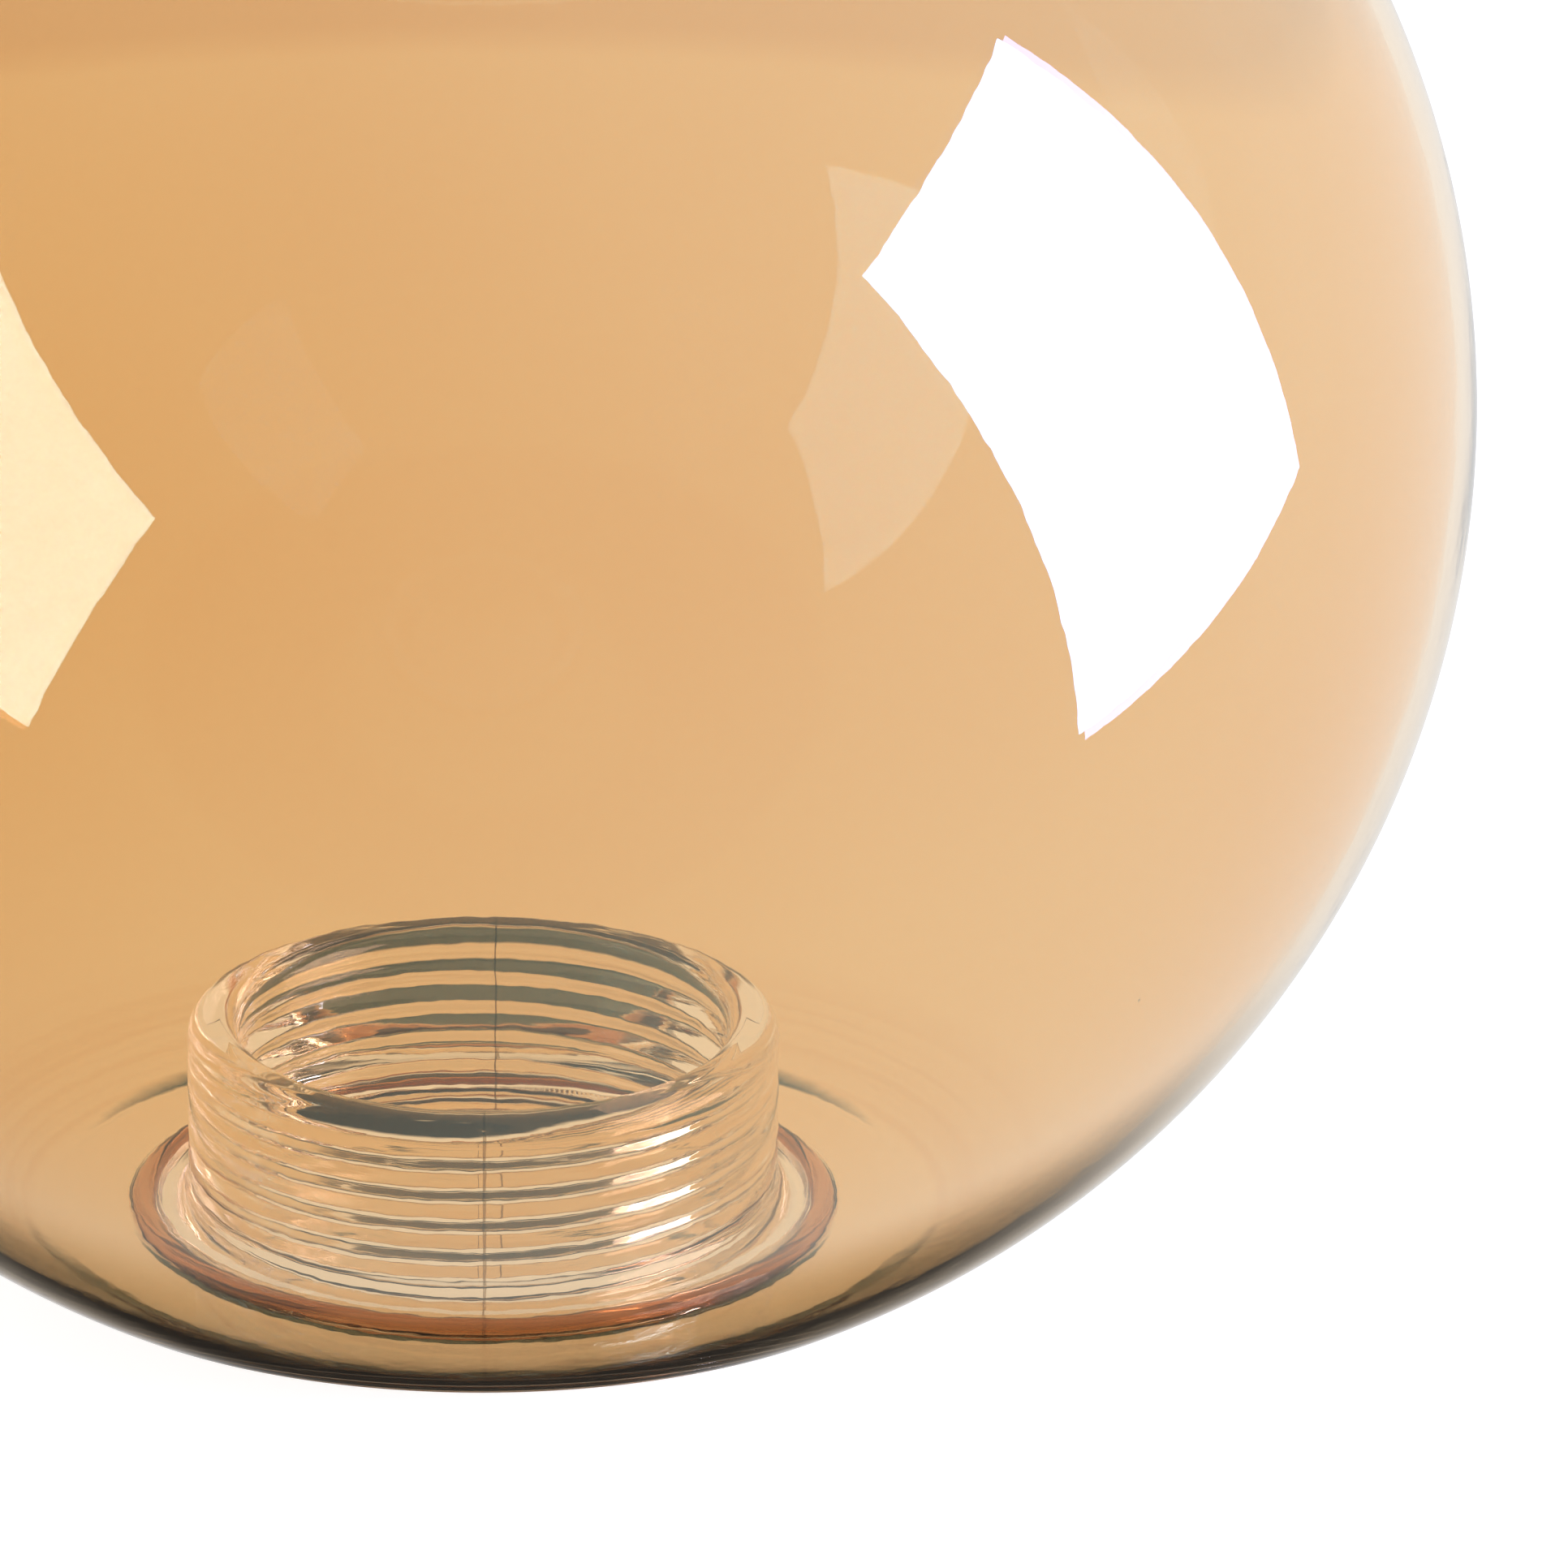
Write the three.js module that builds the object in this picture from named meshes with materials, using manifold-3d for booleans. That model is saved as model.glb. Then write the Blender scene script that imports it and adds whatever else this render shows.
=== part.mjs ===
// Globe lampshade of clear glass, amber-coated inside, with a re-entrant screw collar.
//
// Units are millimetres and +Z points up. The origin is the centre of the mouth, on the
// flat underside that the shade rests on. The shade has three glass bodies: the blown
// globe, the pressed collar that stands up inside its mouth and carries the screw
// thread, and the bead of melted glass that seals one to the other.

import * as THREE from 'three';
import { mergeVertices } from 'three/addons/utils/BufferGeometryUtils.js';
import Module from 'manifold-3d';

// ---- driving dimensions ------------------------------------------------------------

const FIT_GAP = 0.3; // clearance left between bodies that are fused on the real shade

// blown globe
const GLOBE_RADIUS = 75;
const GLOBE_CENTRE_Z = 66.1; // the sphere's centre above the flat underside
const GLASS_WALL = 1.5;
const FLOOR_EDGE_RADIUS = 6; // rounding from the sphere into the flat underside
const MOUTH_RADIUS = 27.6; // hole in the flat underside

// sealing bead
const BEAD_OUTER_RADIUS = MOUTH_RADIUS - FIT_GAP;
const BEAD_WIDTH = 1.6;
const BEAD_HEIGHT = 2.4;

// pressed collar
const COLLAR_HEIGHT = 16.8;
const COLLAR_RADIUS = 22.8; // outside of its wall
const RIM_RADIUS = 1.5; // fire-polished rounding of the rim
const FOOT_RADIUS = BEAD_OUTER_RADIUS - BEAD_WIDTH - FIT_GAP;
const FOOT_THICKNESS = 2.2;
const FLARE_RADIUS = 1.8; // hollow fillet from the wall into the foot

// screw thread in the bore: the 40 mm barrel thread of an E27 shade ring
const THREAD_MAJOR_RADIUS = 20.1;
const THREAD_MINOR_RADIUS = 18.8;
const THREAD_PITCH = 2.5;
const THREAD_GROOVE_RADIUS = 1; // the groove is round in section
const THREAD_TOP_Z = 14.4; // where the groove stops below the rim
const MOUTH_CHAMFER = 1.1; // lead-in at the bottom of the bore

// fineness of the curved surfaces
const GLOBE_SEGMENTS = 56;
const COLLAR_SEGMENTS = 56;
const SPHERE_STEPS = 20;
const ROUNDING_STEPS = 4;
const GROOVE_SIDES = 8;
const GROOVE_STEPS_PER_TURN = 28;

// ---- materials ---------------------------------------------------------------------

const amberGlass = () => new THREE.MeshStandardMaterial({ color: 0xdda86c, roughness: 0.04, metalness: 0 });

const clearGlass = () => new THREE.MeshStandardMaterial({ color: 0xead6ae, roughness: 0.06, metalness: 0 });

const sealGlass = () => new THREE.MeshStandardMaterial({ color: 0xb98a56, roughness: 0.08, metalness: 0 });

// ---- helpers -----------------------------------------------------------------------

const wasm = await Module();
wasm.setup();

// Points of an arc in the (radius, height) plane, angles measured from +radius.
function arc(radius, height, size, from, to, steps) {
  const points = [];
  for (let i = 0; i <= steps; i += 1) {
    const angle = from + ((to - from) * i) / steps;
    points.push(new THREE.Vector2(radius + size * Math.cos(angle), height + size * Math.sin(angle)));
  }
  return points;
}

// Solid of revolution about Z. The profile runs with the material on its left.
function revolve(profile, segments) {
  const geometry = new THREE.LatheGeometry(profile, segments);
  geometry.rotateX(Math.PI / 2);
  return geometry;
}

function toManifold(geometry) {
  const bare = geometry.clone();
  bare.deleteAttribute('normal');
  bare.deleteAttribute('uv');
  const welded = mergeVertices(bare, 1e-4);
  const vertProperties = new Float32Array(welded.attributes.position.array);
  const triVerts = new Uint32Array(welded.index.array);
  return new wasm.Manifold(new wasm.Mesh({ numProp: 3, vertProperties, triVerts }));
}

function fromManifold(solid) {
  const mesh = solid.getMesh();
  const geometry = new THREE.BufferGeometry();
  geometry.setAttribute('position', new THREE.BufferAttribute(mesh.vertProperties, 3));
  geometry.setIndex(new THREE.BufferAttribute(mesh.triVerts, 1));
  geometry.computeVertexNormals();
  return geometry;
}

function named(name, geometry, material) {
  const mesh = new THREE.Mesh(geometry, material);
  mesh.name = name;
  return mesh;
}

// ---- blown globe -------------------------------------------------------------------

// One skin of the shell, from the mouth along the floor and up the sphere to the pole.
// The floor's rounding touches both the flat floor and the sphere.
function globeSkin(inset) {
  const sphere = GLOBE_RADIUS - inset;
  const edge = FLOOR_EDGE_RADIUS - inset;
  const edgeZ = inset + edge;
  const tangent = Math.asin((edgeZ - GLOBE_CENTRE_Z) / (sphere - edge));
  const edgeRadius = (sphere - edge) * Math.cos(tangent);
  const rounding = arc(edgeRadius, edgeZ, edge, -Math.PI / 2, tangent, ROUNDING_STEPS);
  const dome = arc(0, GLOBE_CENTRE_Z, sphere, tangent, Math.PI / 2, SPHERE_STEPS);
  const pole = new THREE.Vector2(0, GLOBE_CENTRE_Z + sphere);
  return [new THREE.Vector2(MOUTH_RADIUS, inset), ...rounding, ...dome.slice(1, -1), pole];
}

function globeShell() {
  const outside = globeSkin(0).reverse();
  const inside = globeSkin(GLASS_WALL);
  return named('globe_shell', revolve([...outside, ...inside].reverse(), GLOBE_SEGMENTS), amberGlass());
}

// ---- sealing bead ------------------------------------------------------------------

// A ring with a fully rounded top, between the globe's mouth and the collar's foot.
function sealingBead() {
  const half = BEAD_WIDTH / 2;
  const middle = BEAD_OUTER_RADIUS - half;
  const crown = arc(middle, BEAD_HEIGHT - half, half, 0, Math.PI, 2 * ROUNDING_STEPS);
  const profile = [
    new THREE.Vector2(middle - half, 0),
    new THREE.Vector2(middle + half, 0),
    ...crown,
    new THREE.Vector2(middle - half, 0),
  ];
  return named('sealing_bead', revolve(profile, COLLAR_SEGMENTS), sealGlass());
}

// ---- pressed collar ----------------------------------------------------------------

// The collar before threading: a flat foot that flares into an upright wall.
function collarBlank() {
  const flareRadius = COLLAR_RADIUS + FLARE_RADIUS;
  const flareZ = FOOT_THICKNESS + FLARE_RADIUS;
  const rimZ = COLLAR_HEIGHT - RIM_RADIUS;
  const profile = [
    new THREE.Vector2(THREAD_MINOR_RADIUS + MOUTH_CHAMFER, 0),
    new THREE.Vector2(FOOT_RADIUS, 0),
    new THREE.Vector2(FOOT_RADIUS, FOOT_THICKNESS),
    ...arc(flareRadius, flareZ, FLARE_RADIUS, -Math.PI / 2, -Math.PI, ROUNDING_STEPS),
    ...arc(COLLAR_RADIUS - RIM_RADIUS, rimZ, RIM_RADIUS, 0, Math.PI / 2, ROUNDING_STEPS),
    ...arc(THREAD_MINOR_RADIUS + RIM_RADIUS, rimZ, RIM_RADIUS, Math.PI / 2, Math.PI, ROUNDING_STEPS),
    new THREE.Vector2(THREAD_MINOR_RADIUS, MOUTH_CHAMFER),
    new THREE.Vector2(THREAD_MINOR_RADIUS + MOUTH_CHAMFER, 0),
  ];
  return revolve(profile, COLLAR_SEGMENTS);
}

// Centre line of the thread groove: a right-handed helix that climbs one pitch a turn.
class ThreadHelix extends THREE.Curve {
  constructor(radius, bottom, top) {
    super();
    this.radius = radius;
    this.bottom = bottom;
    this.top = top;
    this.turns = (top - bottom) / THREAD_PITCH;
  }

  getPoint(t, target = new THREE.Vector3()) {
    const angle = 2 * Math.PI * this.turns * t;
    const height = this.bottom + (this.top - this.bottom) * t;
    return target.set(this.radius * Math.cos(angle), this.radius * Math.sin(angle), height);
  }
}

// The groove starts below the mouth, so that a lampholder's thread can enter it.
function threadGroove() {
  const centreRadius = THREAD_MAJOR_RADIUS - THREAD_GROOVE_RADIUS;
  const path = new ThreadHelix(centreRadius, -THREAD_PITCH / 2, THREAD_TOP_Z);
  const section = new THREE.Shape(arc(0, 0, THREAD_GROOVE_RADIUS, 0, 2 * Math.PI, GROOVE_SIDES).slice(0, -1));
  const steps = Math.round(path.turns * GROOVE_STEPS_PER_TURN);
  return new THREE.ExtrudeGeometry(section, { steps, extrudePath: path });
}

function threadedCollar() {
  const blank = toManifold(collarBlank());
  const groove = toManifold(threadGroove());
  return named('threaded_collar', fromManifold(blank.subtract(groove)), clearGlass());
}

// ---- the shade ---------------------------------------------------------------------

const shade = new THREE.Group();
shade.add(globeShell(), sealingBead(), threadedCollar());

export default shade;
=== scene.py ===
"""Looks for the glass globe lampshade: blown globe, sealing bead and threaded collar."""

import math

import bpy
from mathutils import Matrix, Vector


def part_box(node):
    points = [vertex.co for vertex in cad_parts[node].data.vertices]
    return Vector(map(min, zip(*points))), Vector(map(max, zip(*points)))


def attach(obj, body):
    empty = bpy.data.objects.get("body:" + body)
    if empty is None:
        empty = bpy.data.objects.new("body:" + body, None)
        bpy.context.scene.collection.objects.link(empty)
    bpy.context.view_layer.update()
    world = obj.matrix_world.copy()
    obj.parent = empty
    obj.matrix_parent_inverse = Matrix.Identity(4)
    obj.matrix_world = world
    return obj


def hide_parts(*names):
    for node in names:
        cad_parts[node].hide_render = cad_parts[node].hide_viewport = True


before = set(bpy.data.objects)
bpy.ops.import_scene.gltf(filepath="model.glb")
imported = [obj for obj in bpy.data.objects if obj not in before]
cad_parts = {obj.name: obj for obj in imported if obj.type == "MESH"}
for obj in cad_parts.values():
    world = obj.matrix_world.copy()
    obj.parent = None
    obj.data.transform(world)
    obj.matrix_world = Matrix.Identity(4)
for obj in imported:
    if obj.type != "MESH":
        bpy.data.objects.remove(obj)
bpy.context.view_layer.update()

MM = 0.001

# ---- sizes, from the frame -------------------------------------------------------------

GLOBE_LOW, GLOBE_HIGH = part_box("globe_shell")
COLLAR_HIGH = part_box("threaded_collar")[1]
BEAD_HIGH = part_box("sealing_bead")[1]

GLOBE_RADIUS = (GLOBE_HIGH.x - GLOBE_LOW.x) / 2
GLOBE_CENTRE = Vector((0, 0, GLOBE_HIGH.z - GLOBE_RADIUS))
GLASS_WALL = 1.5 * MM
FLOOR_EDGE_RADIUS = 6 * MM
BEAD_OUTER_RADIUS = BEAD_HIGH.x
BEAD_HEIGHT = BEAD_HIGH.z
FUSED_GAP = 0.04 * MM
UNDERSIDE_LIFT = 0.05 * MM
MOUTH_RADIUS = BEAD_OUTER_RADIUS + FUSED_GAP

FOOT_RADIUS = COLLAR_HIGH.x
COLLAR_HEIGHT = COLLAR_HIGH.z
BEAD_INNER_RADIUS = FOOT_RADIUS + FUSED_GAP
COLLAR_RADIUS = 22.8 * MM
RIM_RADIUS = 1.5 * MM
FOOT_THICKNESS = 2.2 * MM
FOOT_EDGE_RADIUS = 0.3 * MM
FLARE_RADIUS = 1.8 * MM
MOUTH_CHAMFER = 1.1 * MM

THREAD_MINOR_RADIUS = 18.8 * MM
THREAD_DEPTH = 0.9 * MM
THREAD_FLAT = 0.12
THREAD_PITCH = 2.5 * MM
THREAD_TOP = 15.2 * MM
THREAD_FADE = 1.4 * MM

# Painted shade: darker amber with level streaks, painted on the globe's clear skin at its bottom.
PAINTED_BOTTOM_SHADE = (0.82, 0.63, 0.43)
PAINTED_STREAK_SHADE = (0.78, 0.55, 0.34)
PAINTED_SHADE_TOP = 7.2 * MM
# Painted light: the coating is painted paler below the height that follows, a pale haze round the
# collar.
PAINTED_FILM_LIGHT = (0.96, 0.80, 0.55)
PAINTED_LIGHT_TOP = 36 * MM
FILM_SHEEN = (1.4, 3.5, 4.9)

SEAM_ANGLES = (87.4, -90)
SEAM_HEIGHT = 0.06 * MM
SEAM_REACH = 0.3 * MM
SEAM_HALF_WIDTH = 1.1
# A thin dark line of painted shade along the mould seams: its width and colour.
SEAM_SHADE_WIDTH = 0.08 * MM
SEAM_SHADE_TINT = (0.30, 0.22, 0.13)

SAME_POINT = 1e-7

GLOBE_SEGMENTS = 256
COLLAR_SEGMENTS = 360


# ---- glass, sizes of its unevenness ----------------------------------------------------

INDEX_OF_REFRACTION = 1.5
CLOUD_SCALE = 14
SMEAR_SCALE = 45
WAVE_SCALE = 28
RIPPLE_SCALE = 240
RING_SCALE = 300
RING_STRETCH = (0.03, 0.03, 6)
SEED_SPACING = 13e-3
SEED_SIZE = 0.25e-3
SEED_DEPTH = 30e-6
SEED_SHARE = 0.11


# ---- mesh helpers ----------------------------------------------------------------------

def arc(radius, height, size, start, end, steps):
    """Points of an arc in the (radius, height) plane, angles in degrees from +radius."""
    points = []
    for i in range(steps + 1):
        angle = math.radians(start + (end - start) * i / steps)
        points.append((radius + size * math.cos(angle), height + size * math.sin(angle)))
    return points


def line(start, end, steps):
    """Points along a straight stretch of a profile, both ends included."""
    points = []
    for i in range(steps + 1):
        t = i / steps
        points.append((start[0] + (end[0] - start[0]) * t, start[1] + (end[1] - start[1]) * t))
    return points


def joined(*stretches):
    """One outline from several stretches, without the points that two of them share."""
    outline = []
    for stretch in stretches:
        for point in stretch:
            if not outline or math.dist(point, outline[-1]) > SAME_POINT:
                outline.append(point)
    if math.dist(outline[0], outline[-1]) < SAME_POINT:
        outline.pop()
    return outline


def revolved(name, outline, segments, reshape=None):
    """A closed mesh from an outline turned about Z. Outline points on the axis become
    poles. reshape(angle, radius, height) may move a point in its own half-plane."""
    verts = []
    rings = []
    for radius, height in outline:
        if radius < SAME_POINT:
            rings.append([len(verts)])
            verts.append((0, 0, height))
            continue
        ring = []
        for s in range(segments):
            angle = 2 * math.pi * s / segments
            r, z = reshape(angle, radius, height) if reshape else (radius, height)
            ring.append(len(verts))
            verts.append((r * math.cos(angle), r * math.sin(angle), z))
        rings.append(ring)
    on_axis = len(rings[0]) == 1
    pairs = list(zip(rings, rings[1:]))
    if not on_axis:
        pairs.append((rings[-1], rings[0]))
    faces = []
    for low, high in pairs:
        for s in range(segments):
            n = (s + 1) % segments
            if len(low) == 1:
                faces.append((low[0], high[n], high[s]))
            elif len(high) == 1:
                faces.append((low[s], low[n], high[0]))
            else:
                faces.append((low[s], low[n], high[n], high[s]))
    mesh = bpy.data.meshes.new(name)
    mesh.from_pydata(verts, [], faces)
    mesh.shade_smooth()
    mesh.validate()
    piece = bpy.data.objects.new(name, mesh)
    bpy.context.scene.collection.objects.link(piece)
    return piece


# ---- materials -------------------------------------------------------------------------

def node(tree, kind, **settings):
    """A new shader node. Settings are sockets by name, with _ for a space, or properties."""
    made = tree.nodes.new(kind)
    for name, value in settings.items():
        if hasattr(made, name):
            setattr(made, name, value)
        else:
            made.inputs[name.replace("_", " ")].default_value = value
    return made


def noise(tree, place, scale, detail=2, stretch=(1, 1, 1)):
    """Noise over the piece in metres; 1 / scale is the size of its features."""
    mapping = node(tree, "ShaderNodeMapping", Scale=stretch)
    tree.links.new(place.outputs["Object"], mapping.inputs["Vector"])
    made = node(tree, "ShaderNodeTexNoise", Scale=scale, Detail=detail, Roughness=0.5)
    tree.links.new(mapping.outputs["Vector"], made.inputs["Vector"])
    return made.outputs["Fac"]


def remap(tree, value, low, high, to_low, to_high):
    made = node(tree, "ShaderNodeMapRange", interpolation_type="SMOOTHSTEP", From_Min=low,
                From_Max=high, To_Min=to_low, To_Max=to_high)
    tree.links.new(value, made.inputs["Value"])
    return made.outputs["Result"]


def bump(tree, height, distance, normal=None):
    made = node(tree, "ShaderNodeBump", Strength=1, Distance=distance)
    tree.links.new(height, made.inputs["Height"])
    if normal:
        tree.links.new(normal, made.inputs["Normal"])
    return made.outputs["Normal"]


def seeds(tree, place, spacing, size):
    """Height of a few tiny gas seeds: round pits, one in about every tenth cell."""
    cells = node(tree, "ShaderNodeTexVoronoi", Scale=1 / spacing)
    tree.links.new(place.outputs["Object"], cells.inputs["Vector"])
    pit = remap(tree, cells.outputs["Distance"], 0, size / spacing, 1, 0)
    pick = node(tree, "ShaderNodeSeparateColor")
    tree.links.new(cells.outputs["Color"], pick.inputs["Color"])
    rare = remap(tree, pick.outputs["Red"], 1 - SEED_SHARE, 1 - SEED_SHARE + 0.01, 0, 1)
    both = node(tree, "ShaderNodeMath", operation="MULTIPLY")
    tree.links.new(pit, both.inputs[0])
    tree.links.new(rare, both.inputs[1])
    return both.outputs["Value"]


def painted_shade_streaks(tree, place, pale, deep):
    """Fine level streaks of painted shade between two colours."""
    mix = node(tree, "ShaderNodeMix", data_type="RGBA")
    mix.inputs["A"].default_value = (*pale, 1)
    mix.inputs["B"].default_value = (*deep, 1)
    band = remap(tree, noise(tree, place, RING_SCALE, 3, RING_STRETCH), 0.4, 0.6, 0, 1)
    tree.links.new(band, mix.inputs["Factor"])
    return mix.outputs["Result"]


def painted_seam_shade(tree, place, tint):
    """Paints a thin dark line of shade into a tint along the two mould seams, which lie nearly in
    the plane x = 0.
    The seams' low ridges are real geometry; the dark line is painted shade.
    """
    side = node(tree, "ShaderNodeVectorMath", operation="DOT_PRODUCT")
    lean = math.radians((90 - SEAM_ANGLES[0]) / 2)
    side.inputs[1].default_value = (1, -lean, 0)
    tree.links.new(place.outputs["Object"], side.inputs[0])
    away = node(tree, "ShaderNodeMath", operation="SUBTRACT")
    tree.links.new(side.outputs["Value"], away.inputs[0])
    away.inputs[1].default_value = lean * COLLAR_RADIUS
    width = node(tree, "ShaderNodeMath", operation="ABSOLUTE")
    tree.links.new(away.outputs["Value"], width.inputs[0])
    shade_now = remap(tree, width.outputs["Value"], 0.4 * SEAM_SHADE_WIDTH, SEAM_SHADE_WIDTH, 1, 0)
    mix = node(tree, "ShaderNodeMix", data_type="RGBA")
    mix.inputs["B"].default_value = (*SEAM_SHADE_TINT, 1)
    tree.links.new(shade_now, mix.inputs["Factor"])
    tree.links.new(tint, mix.inputs["A"])
    return mix.outputs["Result"]


def paint_bottom(tree, place, tint, painted_bottom, top, painted_streak=None):
    """Paints a tint over to another colour from the height top down, but not on the flat underside.
    On the globe's clear skin this is painted shade, on its coating painted light.
    """
    split = node(tree, "ShaderNodeSeparateXYZ")
    tree.links.new(place.outputs["Object"], split.inputs["Vector"])
    falling = remap(tree, split.outputs["Z"], 0.5 * FLOOR_EDGE_RADIUS, top, 1, 0)
    rising = remap(tree, split.outputs["Z"], 0.02 * MM, 0.5 * MM, 0, 1)
    both = node(tree, "ShaderNodeMath", operation="MULTIPLY")
    tree.links.new(falling, both.inputs[0])
    tree.links.new(rising, both.inputs[1])
    mix = node(tree, "ShaderNodeMix", data_type="RGBA")
    mix.inputs["B"].default_value = (*painted_bottom, 1)
    if painted_streak:
        tree.links.new(painted_shade_streaks(tree, place, painted_bottom, painted_streak), mix.inputs["B"])
    tree.links.new(both.outputs["Value"], mix.inputs["Factor"])
    tree.links.new(tint, mix.inputs["A"])
    return mix.outputs["Result"]


def glass(name, tint, deep_tint, sheen=(1, 1, 1), waviness=60e-6, ripple=5e-6, smudge=0.02,
          rings=0, painted_bottom=None, painted_bottom_top=PAINTED_SHADE_TOP, painted_streak=None, seam=False):
    """Clear glass. tint and deep_tint are its palest and strongest colour, sheen scales
    its reflection by colour, waviness and ripple are the heights of its broad and fine
    unevenness in metres, smudge its roughest patch and rings the height of its pressed-in
    rings. Below painted_bottom_top its tint is painted over with painted_bottom, a painted
    colour that stands in for shade on the clear skin and for light on the coating, streaked
    with painted shade in painted_streak, and seam paints a thin dark line of shade along
    the mould seams."""
    material = bpy.data.materials.new(name)
    material.use_nodes = True
    tree = material.node_tree
    shader = tree.nodes["Principled BSDF"]
    shader.inputs["Transmission Weight"].default_value = 1
    shader.inputs["IOR"].default_value = INDEX_OF_REFRACTION
    shader.inputs["Specular Tint"].default_value = (*sheen, 1)
    place = node(tree, "ShaderNodeTexCoord")

    cloud = remap(tree, noise(tree, place, CLOUD_SCALE), 0.35, 0.65, 0, 1)
    colour = node(tree, "ShaderNodeMix", data_type="RGBA")
    colour.inputs["A"].default_value = (*tint, 1)
    colour.inputs["B"].default_value = (*deep_tint, 1)
    tree.links.new(cloud, colour.inputs["Factor"])
    tint_now = colour.outputs["Result"]
    if painted_bottom:
        tint_now = paint_bottom(tree, place, tint_now, painted_bottom, painted_bottom_top, painted_streak)
    if seam:
        tint_now = painted_seam_shade(tree, place, tint_now)
    tree.links.new(tint_now, shader.inputs["Base Color"])

    smear = remap(tree, noise(tree, place, SMEAR_SCALE, 4, (1, 1, 0.35)), 0.55, 0.75, 0, smudge)
    tree.links.new(smear, shader.inputs["Roughness"])

    normal = bump(tree, noise(tree, place, WAVE_SCALE, 1), waviness)
    normal = bump(tree, noise(tree, place, RIPPLE_SCALE, 2), ripple, normal)
    normal = bump(tree, seeds(tree, place, SEED_SPACING, SEED_SIZE), SEED_DEPTH, normal)
    if rings:
        normal = bump(tree, noise(tree, place, RING_SCALE, 3, RING_STRETCH), rings, normal)
    tree.links.new(normal, shader.inputs["Normal"])
    return material


# ---- pieces ----------------------------------------------------------------------------

def globe_skin(inset):
    """One skin of the globe, from the mouth along the floor and up to the pole."""
    sphere = GLOBE_RADIUS - inset
    edge = FLOOR_EDGE_RADIUS - inset
    edge_z = inset + edge
    tangent = math.asin((edge_z - GLOBE_CENTRE.z) / (sphere - edge))
    edge_radius = (sphere - edge) * math.cos(tangent)
    tangent = math.degrees(tangent)
    return joined(
        line((MOUTH_RADIUS, inset), (edge_radius, inset), 12),
        arc(edge_radius, edge_z, edge, -90, tangent, 24),
        arc(0, GLOBE_CENTRE.z, sphere, tangent, 90, 120),
    )


def globe_shell():
    outside = globe_skin(0)
    inside = globe_skin(GLASS_WALL)
    outline = list(reversed(inside)) + outside
    piece = revolved("blown_globe", outline, GLOBE_SEGMENTS)
    # The clear skin's bottom rounding is painted darker amber with level streaks: painted shade for
    # the dark, striped look seen through it.
    clear = glass("globe_clear_glass", (0.855, 0.69, 0.49), (0.845, 0.67, 0.47),
                  painted_bottom=PAINTED_BOTTOM_SHADE, painted_streak=PAINTED_STREAK_SHADE)
    # The coating is painted paler towards the bottom: painted light, a pale haze round the collar.
    film = glass("globe_amber_coating", (0.93, 0.665, 0.335), (0.92, 0.64, 0.31), FILM_SHEEN,
                 painted_bottom=PAINTED_FILM_LIGHT, painted_bottom_top=PAINTED_LIGHT_TOP)
    piece.data.materials.append(clear)
    piece.data.materials.append(film)
    centre = GLOBE_CENTRE
    middle = GLOBE_RADIUS - GLASS_WALL / 2
    floor_middle = GLASS_WALL / 2
    for face in piece.data.polygons:
        inner = (face.center - centre).length < middle and face.center.z > floor_middle
        face.material_index = 1 if inner else 0
    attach(piece, "root")
    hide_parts("globe_shell")


def sealing_bead():
    half = (BEAD_OUTER_RADIUS - BEAD_INNER_RADIUS) / 2
    middle = BEAD_OUTER_RADIUS - half
    low = UNDERSIDE_LIFT
    outline = joined(
        line((middle - half, low), (middle + half, low), 8),
        line((middle + half, low), (middle + half, BEAD_HEIGHT - half), 8),
        arc(middle, BEAD_HEIGHT - half, half, 0, 180, 24),
        line((middle - half, BEAD_HEIGHT - half), (middle - half, low), 8),
    )
    piece = revolved("melted_bead", outline, COLLAR_SEGMENTS)
    bead = glass("bead_glass", (0.66, 0.36, 0.18), (0.55, 0.27, 0.12), ripple=12e-6)
    piece.data.materials.append(bead)
    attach(piece, "root")
    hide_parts("sealing_bead")


def mould_seam(angle, radius):
    """Height of the two mould seams, which run up the outside of the wall."""
    if radius < COLLAR_RADIUS - SEAM_REACH or radius > COLLAR_RADIUS + FLARE_RADIUS:
        return 0
    height = 0
    for seam in SEAM_ANGLES:
        away = abs((math.degrees(angle) - seam + 180) % 360 - 180)
        height = max(height, SEAM_HEIGHT * (1 - away / SEAM_HALF_WIDTH))
    return height


def thread_cut(angle, radius, height):
    """The bore's wall moves out where the helical groove passes, and fades at its top.
    The groove has straight flanks. The outer wall carries the mould seams."""
    if radius > THREAD_MINOR_RADIUS + MOUTH_CHAMFER + 1e-6:
        return radius + mould_seam(angle, radius), height
    turn = (height / THREAD_PITCH - angle / (2 * math.pi)) % 1
    climb = 1 - abs(2 * turn - 1)
    groove = min(1, max(0, (climb - THREAD_FLAT) / (1 - 2 * THREAD_FLAT)))
    fade = min(1, max(0, (THREAD_TOP - height) / THREAD_FADE))
    cut = THREAD_MINOR_RADIUS + THREAD_DEPTH * groove * fade
    return max(radius, cut), height


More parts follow.
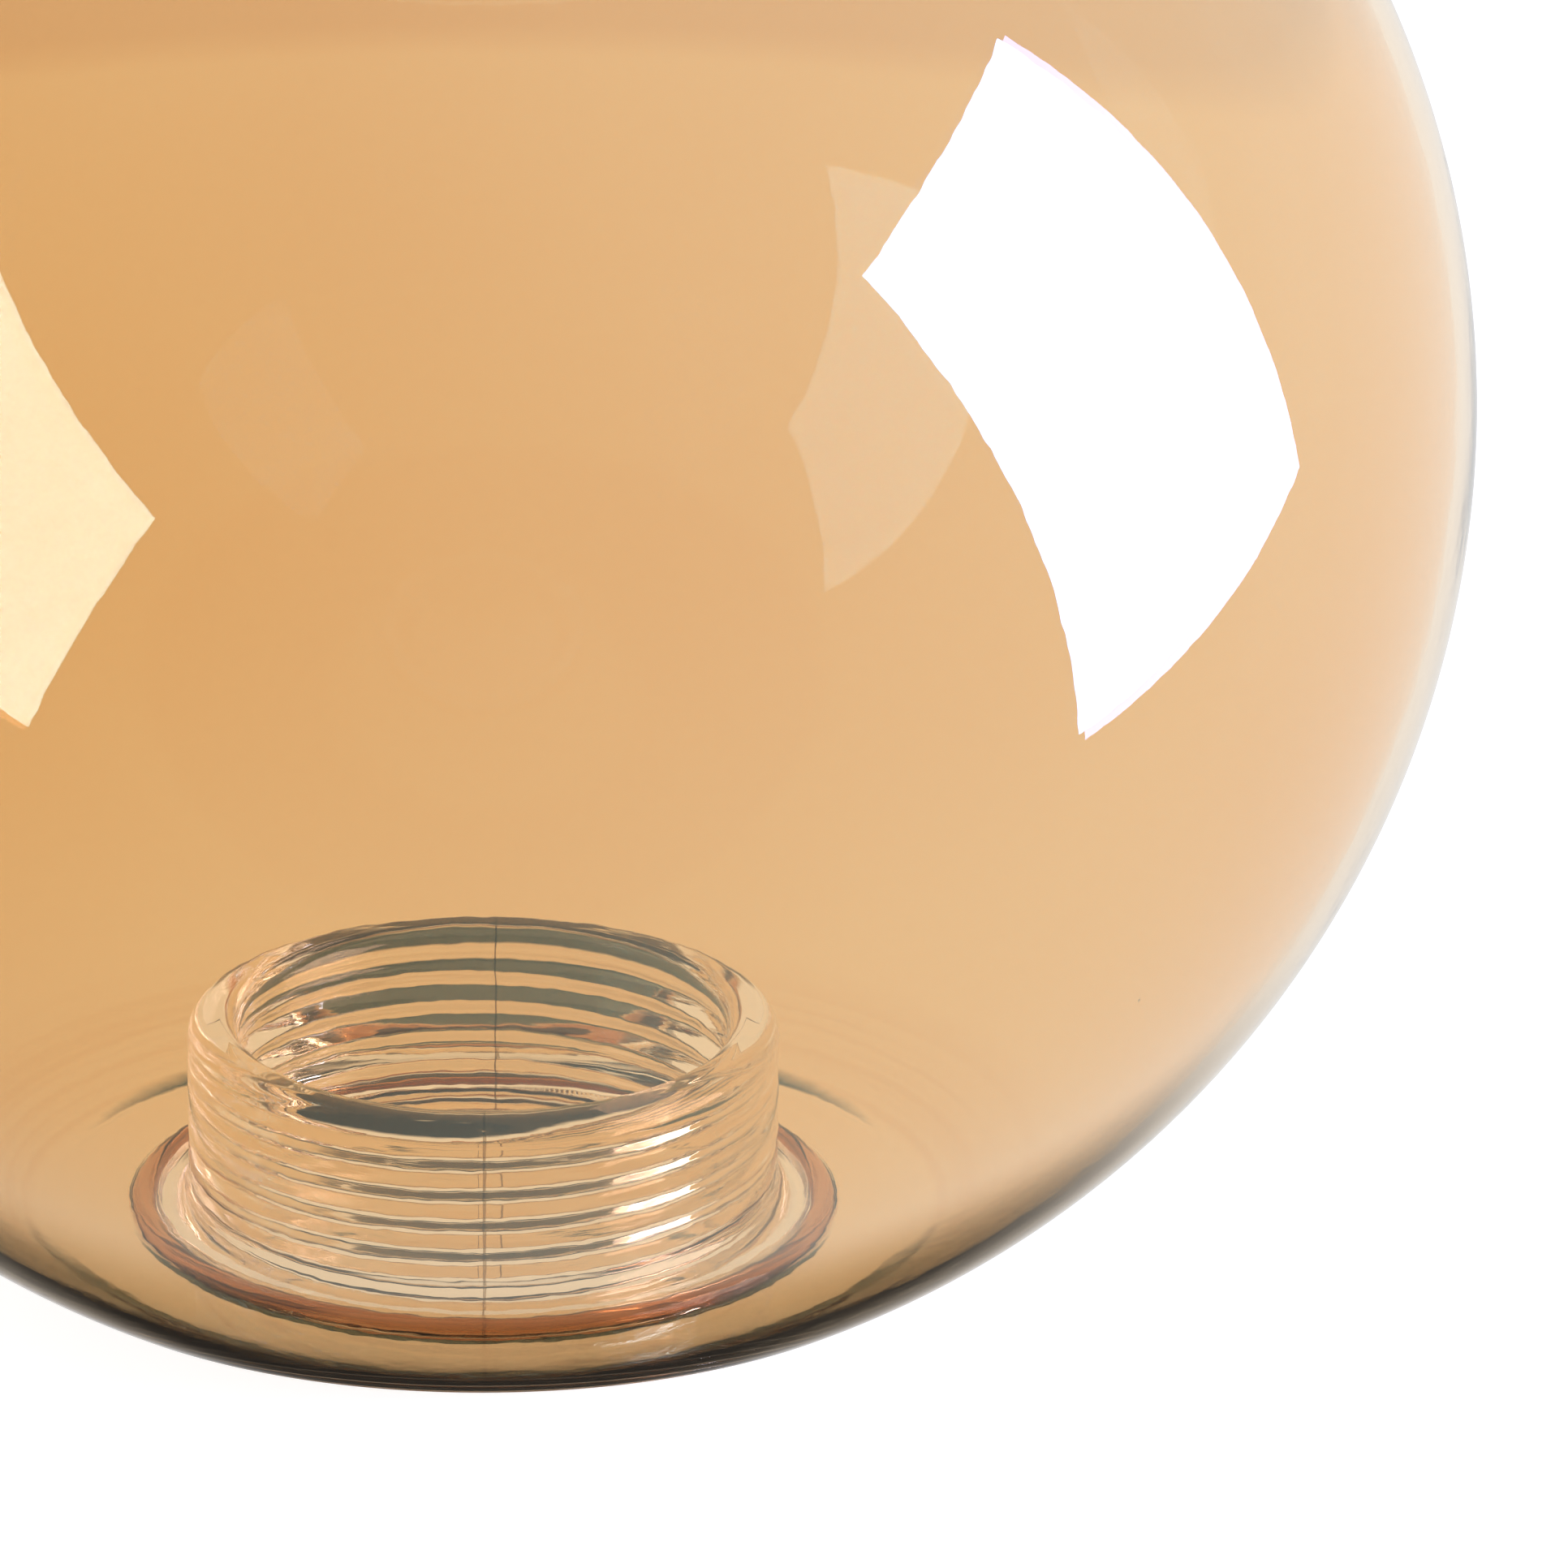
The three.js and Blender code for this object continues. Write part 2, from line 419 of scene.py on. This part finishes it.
def threaded_collar():
    flare_radius = COLLAR_RADIUS + FLARE_RADIUS
    flare_z = FOOT_THICKNESS + FLARE_RADIUS
    rim_z = COLLAR_HEIGHT - RIM_RADIUS
    bore = THREAD_MINOR_RADIUS
    foot_edge = FOOT_EDGE_RADIUS
    outline = joined(
        line((bore + MOUTH_CHAMFER, UNDERSIDE_LIFT), (FOOT_RADIUS - foot_edge, UNDERSIDE_LIFT), 16),
        arc(FOOT_RADIUS - foot_edge, FOOT_THICKNESS - foot_edge, foot_edge, 0, 90, 6),
        arc(flare_radius, flare_z, FLARE_RADIUS, -90, -180, 24),
        line((COLLAR_RADIUS, flare_z), (COLLAR_RADIUS, rim_z), 40),
        arc(COLLAR_RADIUS - RIM_RADIUS, rim_z, RIM_RADIUS, 0, 90, 16),
        arc(bore + RIM_RADIUS, rim_z, RIM_RADIUS, 90, 180, 16),
        line((bore, rim_z), (bore, MOUTH_CHAMFER), 220),
        line((bore, MOUTH_CHAMFER), (bore + MOUTH_CHAMFER, UNDERSIDE_LIFT), 12),
    )
    piece = revolved("screw_collar", outline, COLLAR_SEGMENTS, thread_cut)
    # The collar's mould seams get a thin dark line of painted shade.
    pressed = glass("collar_glass", (0.97, 0.95, 0.90), (0.95, 0.92, 0.86), waviness=30e-6,
                    ripple=9e-6, smudge=0.008, rings=7e-6, seam=True)
    piece.data.materials.append(pressed)
    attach(piece, "root")
    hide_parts("threaded_collar")


# ---- studio ----------------------------------------------------------------------------

ROOM_BRIGHT_WAY = (107, 12)
ROOM_LEVEL = 0.66
ROOM_CONTRAST = 0.6
DARK_PATCH_WAY = (180, -50)
DARK_PATCH_CORE = 12
DARK_PATCH_EDGE = 27
DARK_PATCH_LEVEL = 0.03
FIRST_SURFACES = 2.5
SEEN_THROUGH = (
    (-90, 0.9), (-66, 0.9), (-58, 0.03), (-30, 0.03), (-27.5, 0.55), (-26, 1), (90, 1),
)

SOFTBOX_DISTANCE = 0.9
LENS = 303
SENSOR_WIDTH = 36
CAMERA_DISTANCE = 13.3
CAMERA_ELEVATION = 18.1
AIM_ACROSS = 22.74 * MM
AIM_DOWN = 28.60 * MM


def direction(azimuth, elevation):
    """Unit vector; azimuth 0 is the camera's side (-Y) and 90 is +X, both in degrees."""
    a, e = math.radians(azimuth), math.radians(elevation)
    return Vector((math.sin(a) * math.cos(e), -math.cos(a) * math.cos(e), math.sin(e)))


def softbox(name, azimuth, elevation, facing, roll, size, radiance, colour):
    """A rectangular softbox beside the globe. facing is the azimuth and elevation
    that it is square to, and size its width and height before it is rolled."""
    light = bpy.data.lights.new(name, "AREA")
    light.shape = "RECTANGLE"
    light.size, light.size_y = size
    light.energy = radiance * math.pi * size[0] * size[1]
    light.color = colour
    lamp = bpy.data.objects.new(name, light)
    back = direction(*facing)
    right = back.cross(Vector((0, 0, 1))).normalized()
    up = right.cross(back)
    turn = math.radians(roll)
    x_axis = -right * math.cos(turn) - up * math.sin(turn)
    y_axis = up * math.cos(turn) - right * math.sin(turn)
    basis = Matrix((x_axis, y_axis, back)).transposed().to_4x4()
    position = GLOBE_CENTRE + direction(azimuth, elevation) * SOFTBOX_DISTANCE
    lamp.matrix_world = Matrix.Translation(position) @ basis
    lamp.visible_camera = False
    bpy.context.scene.collection.objects.link(lamp)


def backdrop():
    """What the glass sees. Straight through it, a white sweep all round down to the
    table's edge, dark below that, and the floor straight down. Reflected in its first
    surfaces, a dim room, brighter to the right, with a dark patch low down behind. The
    split by ray type and the patch are fitted to the photo, and are not one real room."""
    world = bpy.data.worlds.new("studio")
    bpy.context.scene.world = world
    world.use_nodes = True
    tree = world.node_tree
    place = node(tree, "ShaderNodeTexCoord")
    way = node(tree, "ShaderNodeSeparateXYZ")
    tree.links.new(place.outputs["Generated"], way.inputs["Vector"])
    through = light_ramp(tree, way.outputs["Z"], SEEN_THROUGH)
    lit = node(tree, "ShaderNodeVectorMath", operation="DOT_PRODUCT")
    tree.links.new(place.outputs["Generated"], lit.inputs[0])
    lit.inputs[1].default_value = direction(*ROOM_BRIGHT_WAY)
    room = node(tree, "ShaderNodeMath", operation="MULTIPLY_ADD")
    tree.links.new(lit.outputs["Value"], room.inputs[0])
    room.inputs[1].default_value = ROOM_CONTRAST
    room.inputs[2].default_value = ROOM_LEVEL
    gap = node(tree, "ShaderNodeVectorMath", operation="DOT_PRODUCT")
    tree.links.new(place.outputs["Generated"], gap.inputs[0])
    gap.inputs[1].default_value = direction(*DARK_PATCH_WAY)
    inside = math.cos(math.radians(DARK_PATCH_CORE))
    outside = math.cos(math.radians(DARK_PATCH_EDGE))
    open_side = remap(tree, gap.outputs["Value"], outside, inside, 1, DARK_PATCH_LEVEL)
    dimmed = node(tree, "ShaderNodeMath", operation="MULTIPLY")
    tree.links.new(room.outputs["Value"], dimmed.inputs[0])
    tree.links.new(open_side, dimmed.inputs[1])
    reflected = dimmed.outputs["Value"]
    path = node(tree, "ShaderNodeLightPath")
    bounced = node(tree, "ShaderNodeMath", operation="GREATER_THAN")
    bounced.inputs[1].default_value = 0.5
    tree.links.new(path.outputs["Glossy Depth"], bounced.inputs[0])
    early = node(tree, "ShaderNodeMath", operation="LESS_THAN")
    early.inputs[1].default_value = FIRST_SURFACES
    tree.links.new(path.outputs["Transmission Depth"], early.inputs[0])
    both = node(tree, "ShaderNodeMath", operation="MULTIPLY")
    tree.links.new(bounced.outputs["Value"], both.inputs[0])
    tree.links.new(early.outputs["Value"], both.inputs[1])
    mix = node(tree, "ShaderNodeMix", data_type="FLOAT")
    tree.links.new(both.outputs["Value"], mix.inputs["Factor"])
    tree.links.new(through, mix.inputs["A"])
    tree.links.new(reflected, mix.inputs["B"])
    tree.links.new(mix.outputs["Result"], tree.nodes["Background"].inputs["Strength"])
    tree.nodes["Background"].inputs["Color"].default_value = (1, 1, 1, 1)


def light_ramp(tree, height, stops):
    """Brightness against elevation, from (degrees, brightness) stops."""
    shift = node(tree, "ShaderNodeMapRange", From_Min=-1, From_Max=1)
    tree.links.new(height, shift.inputs["Value"])
    ramp = node(tree, "ShaderNodeValToRGB")
    tree.links.new(shift.outputs["Result"], ramp.inputs["Fac"])
    elements = ramp.color_ramp.elements
    for i, (elevation, value) in enumerate(stops):
        position = (math.sin(math.radians(elevation)) + 1) / 2
        stop = elements[i] if i < 2 else elements.new(position)
        stop.position = position
        stop.color = (value, value, value, 1)
    return ramp.outputs["Color"]


def pale_floor():
    """A white sweep that the shade stands on."""
    side = 4.0
    mesh = bpy.data.meshes.new("floor")
    corners = [(-side, -side, 0), (side, -side, 0), (side, side, 0), (-side, side, 0)]
    mesh.from_pydata(corners, [], [(0, 1, 2, 3)])
    floor = bpy.data.objects.new("floor", mesh)
    bpy.context.scene.collection.objects.link(floor)
    floor.location.z = -0.02 * MM
    paint = bpy.data.materials.new("floor_paint")
    paint.use_nodes = True
    shader = paint.node_tree.nodes["Principled BSDF"]
    shader.inputs["Base Color"].default_value = (0.3, 0.3, 0.3, 1)
    shader.inputs["Roughness"].default_value = 1
    shader.inputs["Emission Color"].default_value = (1, 1, 1, 1)
    shader.inputs["Emission Strength"].default_value = 0.9
    mesh.materials.append(paint)
    floor.visible_transmission = False
    floor.visible_glossy = False


def camera():
    """A long lens about a metre away, a little above the globe and aimed at its lower
    right, so that the globe runs out of the frame at the top and the left."""
    view = bpy.data.cameras.new("camera")
    view.lens = LENS
    view.sensor_width = SENSOR_WIDTH
    eye = bpy.data.objects.new("camera", view)
    bpy.context.scene.collection.objects.link(eye)
    away = direction(0, CAMERA_ELEVATION)
    position = GLOBE_CENTRE + away * CAMERA_DISTANCE * GLOBE_RADIUS
    right = Vector((1, 0, 0))
    up = right.cross(-away)
    target = GLOBE_CENTRE + right * AIM_ACROSS - up * AIM_DOWN
    look = (target - position).normalized()
    side = look.cross(up).normalized()
    top = side.cross(look)
    basis = Matrix((side, top, -look)).transposed().to_4x4()
    eye.matrix_world = Matrix.Translation(position) @ basis
    view.clip_start = 0.01
    view.clip_end = 20
    bpy.context.scene.camera = eye


def light_paths():
    """Enough bounces for the many glass walls, and plain display colours."""
    scene = bpy.context.scene
    scene.cycles.max_bounces = 40
    scene.cycles.transmission_bounces = 40
    scene.cycles.glossy_bounces = 24
    scene.cycles.sample_clamp_indirect = 0
    scene.view_settings.view_transform = "Standard"


camera()
backdrop()
pale_floor()
softbox("softbox_right", azimuth=78.2, elevation=8.8, facing=(65.7, 3.1), roll=-23.7,
        size=(0.614, 0.926), radiance=19, colour=(0.37, 0.47, 1))
light_paths()
globe_shell()
sealing_bead()
threaded_collar()
